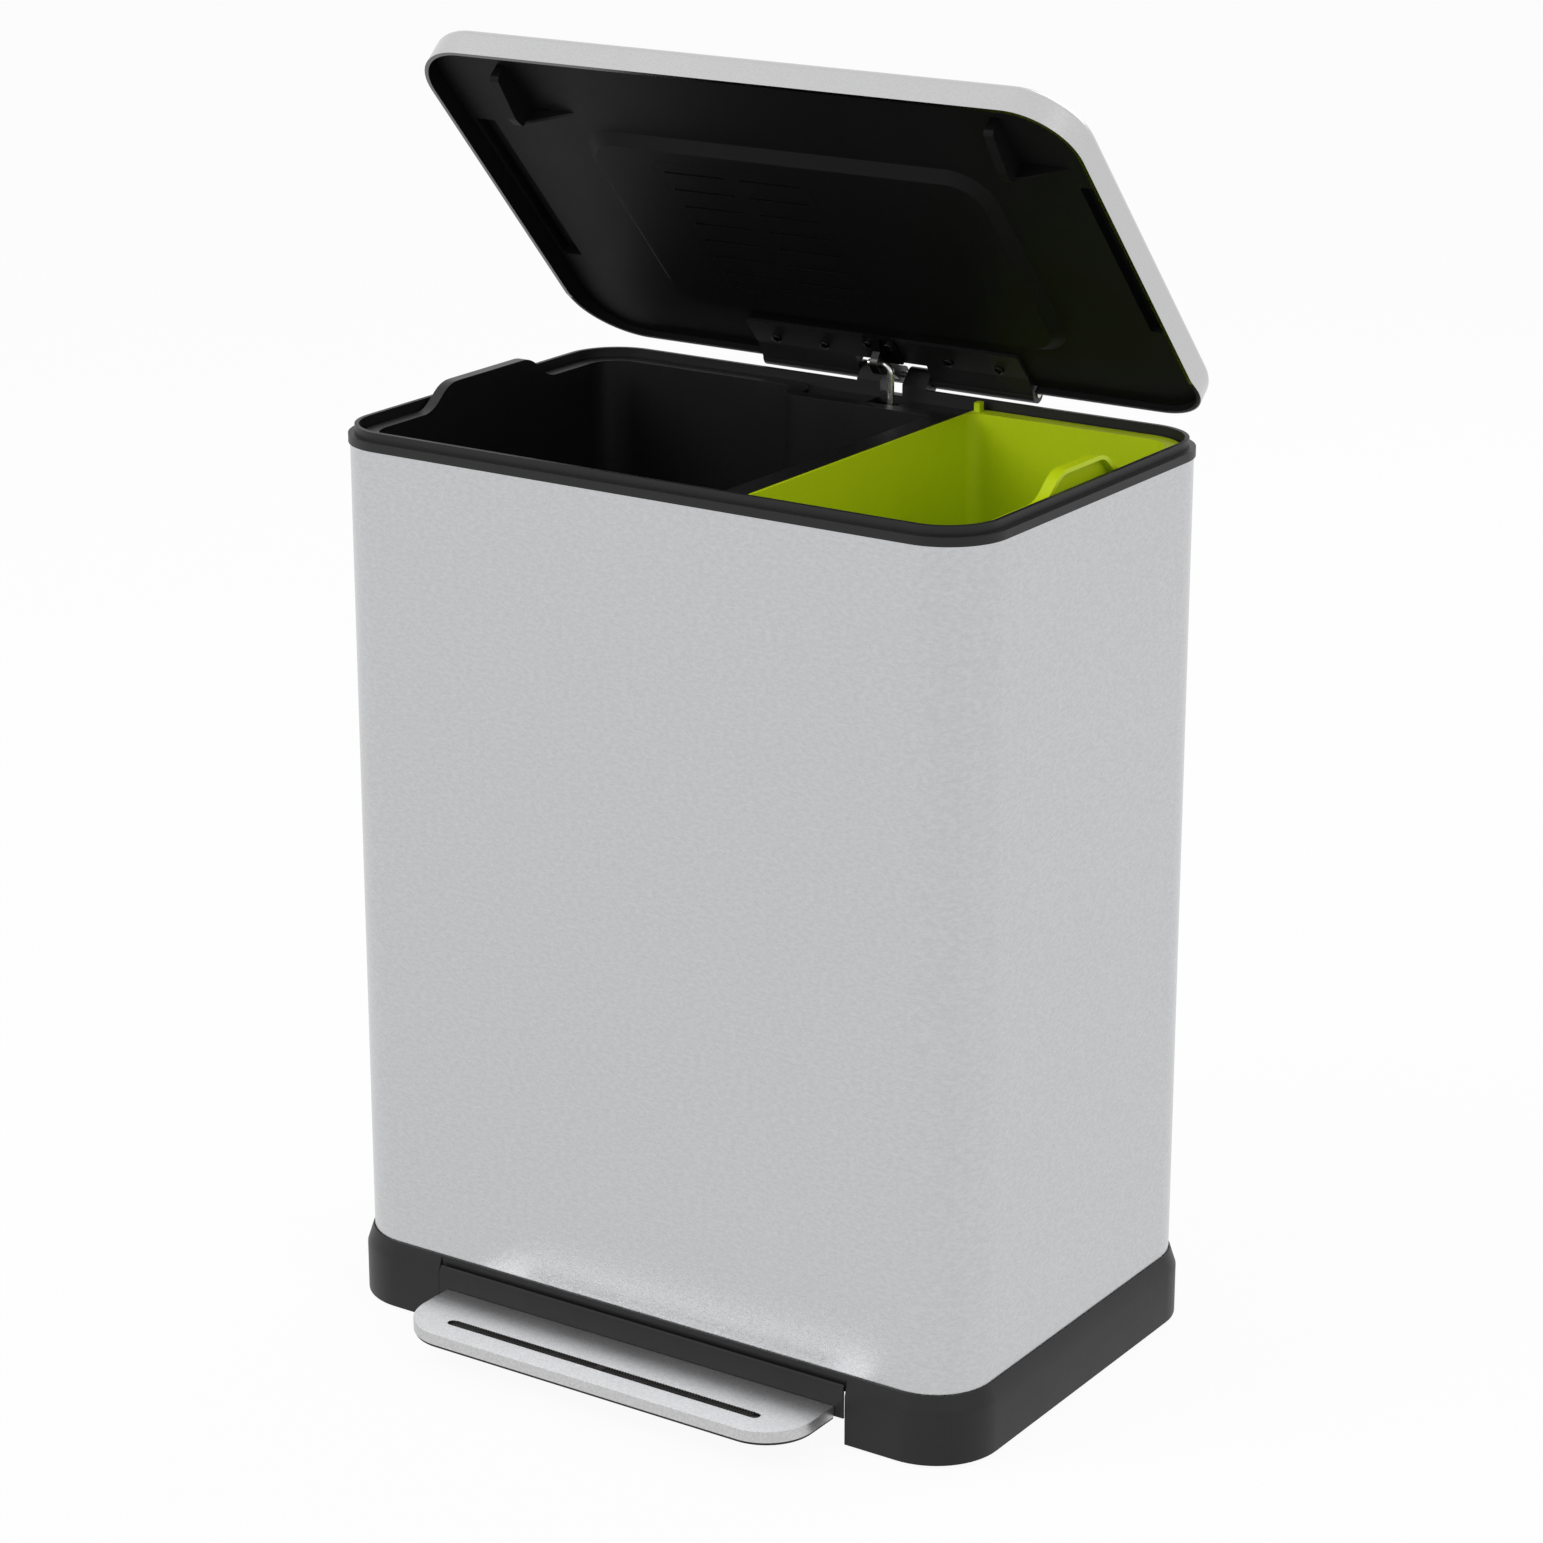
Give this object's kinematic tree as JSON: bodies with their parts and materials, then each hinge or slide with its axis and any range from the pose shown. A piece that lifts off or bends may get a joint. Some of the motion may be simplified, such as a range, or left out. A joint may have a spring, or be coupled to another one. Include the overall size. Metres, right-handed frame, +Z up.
{
  "type": "double recycling bin",
  "caption": "Rectangular steel pedal bin with an open hinged lid, a large black bucket, a smaller lime bucket, black base and rim, and a wide front pedal.",
  "frame": {"origin": "on the floor, in the middle of the footprint from the pedal's edge to the hinge", "axes": "+X to the right seen from the front, towards the lime bucket; -Y to the front, where the pedal is; +Z up"},
  "size_m": [0.511, 0.395, 0.8803],
  "materials": {
    "brushed_steel": "satin stainless steel",
    "bright_steel": "zinc-plated steel",
    "black_plastic": "fine-grained satin polypropylene",
    "lime_plastic": "satin polypropylene",
    "rubber": "matt rubber",
    "filter_board": "pressed charcoal board"
  },
  "bodies": {
    "body": {"steel_sleeve": "brushed_steel", "base_tray": "black_plastic", "rubber_feet": "rubber", "top_rim": "black_plastic", "hinge_pin": "bright_steel", "rod_cover": "black_plastic", "cover_screws": "bright_steel", "damper_screw": "bright_steel", "damper_foot": "black_plastic", "damper_cylinder": "black_plastic", "damper_cap": "black_plastic", "pedal_axle": "bright_steel", "axle_clips": "bright_steel"},
    "large_bucket": {"black_bucket": "black_plastic"},
    "small_bucket": {"lime_bucket": "lime_plastic"},
    "lid": {"lid_skin": "brushed_steel", "lid_liner": "black_plastic", "vent_cover": "black_plastic", "odour_filter": "filter_board", "lid_hinge": "black_plastic", "hinge_screws": "bright_steel", "lid_crank": "bright_steel", "crank_screws": "bright_steel"},
    "drive_rod": {"push_rod": "bright_steel", "rod_clamp": "black_plastic", "damper_rod": "bright_steel"},
    "pedal": {"pedal_lever": "bright_steel", "pedal_body": "black_plastic", "pedal_screws": "bright_steel", "pedal_plate": "brushed_steel", "pedal_grip": "rubber"}
  },
  "joints": [
    {"name": "lid_close", "type": "hinge", "parent": "body", "child": "lid", "pos_m": [0, 0.191, 0.636], "axis": [1, 0, 0], "range_deg": [0, 48]},
    {"name": "rod_slide", "type": "slide", "parent": "body", "child": "drive_rod", "axis": [0, 0, 1], "range_m": [-0.025, 0]},
    {"name": "pedal_pivot", "type": "hinge", "parent": "body", "child": "pedal", "pos_m": [0, -0.077, 0.03], "axis": [1, 0, 0], "range_deg": [-5.96, 0]},
    {"name": "large_bucket_lift", "type": "slide", "parent": "body", "child": "large_bucket", "axis": [0, 0, 1], "range_m": [0, 0.0025]},
    {"name": "small_bucket_lift", "type": "slide", "parent": "body", "child": "small_bucket", "axis": [0, 0, 1], "range_m": [0, 0.0025]}
  ],
  "couplings": [
    {"joint": "rod_slide", "follows": "lid_close", "m_per_rad": -0.029761},
    {"joint": "pedal_pivot", "follows": "lid_close", "ratio": -0.12389}
  ]
}
